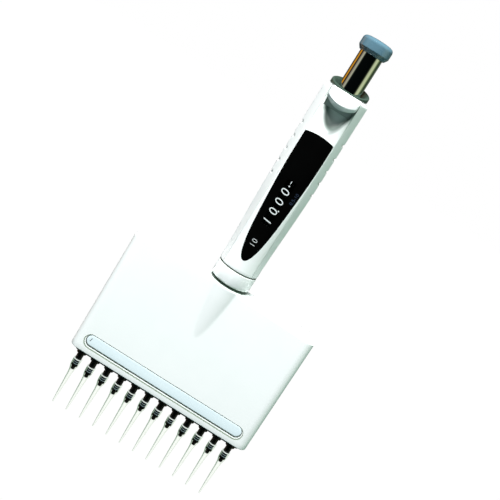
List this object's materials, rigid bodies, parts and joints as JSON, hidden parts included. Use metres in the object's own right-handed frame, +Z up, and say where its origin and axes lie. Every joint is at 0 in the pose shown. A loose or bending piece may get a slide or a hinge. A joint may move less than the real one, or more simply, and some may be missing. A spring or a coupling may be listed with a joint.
{
  "type": "multichannel pipette",
  "caption": "Manual multichannel pipette with a swivelling wide head, digital volume display, thumb plunger, tip ejector and a row of fitted disposable tips",
  "frame": {"origin": "On the handle's axis, in the plane of the ejector plate's flat underside, midway between the two middle channels.", "axes": "+Z runs up the handle to the plunger cap, X runs along the row of channels, and -Y is the front with the volume display."},
  "size_m": [0.114, 0.0544, 0.2653],
  "materials": {
    "white_plastic": "smooth moulded, light gloss",
    "pale_panel": "smooth, faint blue",
    "black_plastic": "fine matt moulding",
    "gloss_black_label": "polished black",
    "dark_green_grey": "satin",
    "blue_grey_cap": "satin moulded",
    "inner_grey": "plain moulded, inside the casing",
    "wheel_black": "matt drum with pale digits",
    "frosted_tip": "translucent natural polypropylene",
    "clear_window": "clear moulded window",
    "chrome": "bright",
    "steel": "fine drawn",
    "brass": "turned"
  },
  "bodies": {
    "handle": {"handle_rear_shell": "white_plastic", "handle_front_shell": "white_plastic", "label_plate": "gloss_black_label", "display_window": "clear_window", "plunger_spring": "steel", "ejector_spring": "steel"},
    "plunger": {"plunger_rod": "steel"},
    "knob": {"plunger_cap": "blue_grey_cap", "plunger_sleeve": "chrome"},
    "hundredths_wheel": {"number_wheel_hundredths": "wheel_black"},
    "tenths_wheel": {"number_wheel_tenths": "wheel_black"},
    "ones_wheel": {"number_wheel_ones": "wheel_black"},
    "tens_wheel": {"number_wheel_tens": "wheel_black"},
    "volume_stop": {"volume_stop": "brass"},
    "lock": {"volume_lock_ring": "dark_green_grey"},
    "ejector": {"ejector_button": "white_plastic", "ejector_rod": "inner_grey"},
    "head": {"head_front_cover": "white_plastic", "head_rear_cover": "white_plastic", "id_panel": "pale_panel", "swivel_collar": "white_plastic", "cone_block": "inner_grey", "tip_cone_01": "black_plastic", "tip_cone_02": "black_plastic", "tip_cone_03": "black_plastic", "tip_cone_04": "black_plastic", "tip_cone_05": "black_plastic", "tip_cone_06": "black_plastic", "tip_cone_07": "black_plastic", "tip_cone_08": "black_plastic", "tip_cone_09": "black_plastic", "tip_cone_10": "black_plastic", "tip_cone_11": "black_plastic", "tip_cone_12": "black_plastic"},
    "pistons": {"piston_bar": "inner_grey", "piston_01": "steel", "piston_02": "steel", "piston_03": "steel", "piston_04": "steel", "piston_05": "steel", "piston_06": "steel", "piston_07": "steel", "piston_08": "steel", "piston_09": "steel", "piston_10": "steel", "piston_11": "steel", "piston_12": "steel"},
    "ejector_plate": {"ejector_plate": "black_plastic"},
    "tips": {"tip_01": "frosted_tip", "tip_02": "frosted_tip", "tip_03": "frosted_tip", "tip_04": "frosted_tip", "tip_05": "frosted_tip", "tip_06": "frosted_tip", "tip_07": "frosted_tip", "tip_08": "frosted_tip", "tip_09": "frosted_tip", "tip_10": "frosted_tip", "tip_11": "frosted_tip", "tip_12": "frosted_tip"}
  },
  "joints": [
    {"name": "plunger_press", "type": "slide", "parent": "handle", "child": "plunger", "axis": [0, 0, 1], "range_m": [-0.0155, 0], "deforming": ["plunger_spring"]},
    {"name": "volume_turn", "type": "hinge", "parent": "plunger", "child": "knob", "pos_m": [0, 0, 0.2187], "axis": [0, 0, 1], "range_deg": [-6840, 0]},
    {"name": "wheel_hundredths_turn", "type": "hinge", "parent": "handle", "child": "hundredths_wheel", "pos_m": [0, 0, 0.1372], "axis": [0, 0, 1], "range_deg": [-34200, 0]},
    {"name": "wheel_tenths_turn", "type": "hinge", "parent": "handle", "child": "tenths_wheel", "pos_m": [0, 0, 0.1312], "axis": [0, 0, 1], "range_deg": [-3420, 0]},
    {"name": "wheel_ones_turn", "type": "hinge", "parent": "handle", "child": "ones_wheel", "pos_m": [0, 0, 0.1252], "axis": [0, 0, 1], "range_deg": [-342, 0]},
    {"name": "wheel_tens_turn", "type": "hinge", "parent": "handle", "child": "tens_wheel", "pos_m": [0, 0, 0.1192], "axis": [0, 0, 1], "range_deg": [-34.2, 0]},
    {"name": "volume_stop_slide", "type": "slide", "parent": "handle", "child": "volume_stop", "axis": [0, 0, 1], "range_m": [0, 0.0121]},
    {"name": "lock_lift", "type": "slide", "parent": "handle", "child": "lock", "axis": [0, 0, 1], "range_m": [0, 0.0015]},
    {"name": "ejector_press", "type": "slide", "parent": "handle", "child": "ejector", "axis": [0, 0, 1], "range_m": [-0.009, 0], "deforming": ["ejector_spring"]},
    {"name": "head_swivel", "type": "hinge", "parent": "handle", "child": "head", "pos_m": [0, 0, 0.0781], "axis": [0, 0, 1], "continuous": true},
    {"name": "piston_slide", "type": "slide", "parent": "head", "child": "pistons", "axis": [0, 0, 1], "range_m": [-0.0155, 0]},
    {"name": "ejector_plate_slide", "type": "slide", "parent": "head", "child": "ejector_plate", "axis": [0, 0, 1], "range_m": [-0.009, 0]},
    {"name": "tip_slide", "type": "slide", "parent": "head", "child": "tips", "axis": [0, 0, 1], "range_m": [-0.009, 0]}
  ],
  "couplings": [
    {"joint": "wheel_hundredths_turn", "follows": "volume_turn", "ratio": 5},
    {"joint": "wheel_tenths_turn", "follows": "volume_turn", "ratio": 0.5},
    {"joint": "wheel_ones_turn", "follows": "volume_turn", "ratio": 0.05},
    {"joint": "wheel_tens_turn", "follows": "volume_turn", "ratio": 0.005},
    {"joint": "volume_stop_slide", "follows": "volume_turn", "m_per_rad": -0.00010111},
    {"joint": "piston_slide", "follows": "plunger_press", "ratio": 1},
    {"joint": "ejector_plate_slide", "follows": "ejector_press", "ratio": 1},
    {"joint": "tip_slide", "follows": "ejector_press", "ratio": 1}
  ]
}
